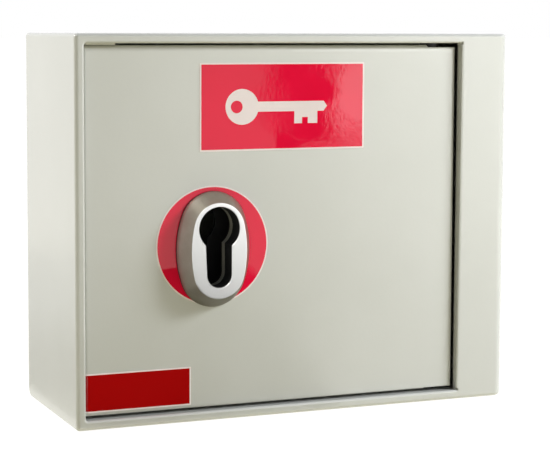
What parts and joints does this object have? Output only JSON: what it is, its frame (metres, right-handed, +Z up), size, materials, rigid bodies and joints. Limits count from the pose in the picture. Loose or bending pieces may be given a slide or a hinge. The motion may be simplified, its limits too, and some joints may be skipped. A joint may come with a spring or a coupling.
{
  "type": "emergency key box",
  "caption": "Wall-mounted sheet-steel key box with a recessed hinged door, an oval escutcheon with a profile-cylinder cut-out, a sliding bolt lock and a key rail inside.",
  "frame": {"origin": "middle of the whole box's outline, escutcheon included, on the plane that the box stands on", "axes": "+X to the right across the door, +Y from the door to the wall, +Z up"},
  "size_m": [0.197, 0.0804, 0.16],
  "materials": {
    "paint": "semi-gloss pebble-grey powder coat",
    "sign_red": "glossy red film",
    "label_red": "glossy dark red film",
    "nickel": "satin nickel",
    "zinc": "bright zinc plate",
    "steel": "plain turned steel",
    "brass": "satin brass",
    "buffer": "dull grey rubber",
    "nylon": "black nylon",
    "black_steel": "black phosphated steel"
  },
  "bodies": {
    "casing": {"casing_shell": "paint", "back_plate": "paint", "upper_hinge_pin": "steel", "lower_hinge_pin": "steel", "upper_hinge_spacer": "nylon", "lower_hinge_spacer": "nylon", "bolt_keeper": "paint", "upper_door_stop": "paint", "lower_door_stop": "paint", "top_buffer": "buffer", "key_rail": "paint", "key_rail_screws": "zinc", "key_hook_1": "zinc", "key_hook_2": "zinc", "key_hook_3": "zinc", "key_hook_4": "zinc"},
    "door": {"door_panel": "paint", "upper_hinge_lug": "paint", "lower_hinge_lug": "paint", "sign_label": "sign_red", "lock_disc": "sign_red", "corner_label": "label_red", "escutcheon": "nickel", "escutcheon_screws": "zinc", "lock_studs": "steel", "lock_case": "black_steel", "lock_cover": "black_steel", "stud_spacers": "steel", "lock_washers": "zinc", "lock_nuts": "zinc", "bolt_guide_posts": "steel", "bolt_retaining_rings": "brass", "lock_cover_screws": "zinc", "detent_spring": "steel", "spring_rivet": "steel", "cylinder_fixing_screw": "zinc"},
    "bolt": {"lock_bolt": "brass"}
  },
  "joints": [
    {"name": "door_hinge", "type": "hinge", "parent": "casing", "child": "door", "pos_m": [0.065, -0.02375, 0.08], "axis": [0, 0, 1], "range_deg": [0, 95]},
    {"name": "bolt_slide", "type": "slide", "parent": "door", "child": "bolt", "axis": [-1, 0, 0], "range_m": [0, 0.013]}
  ]
}
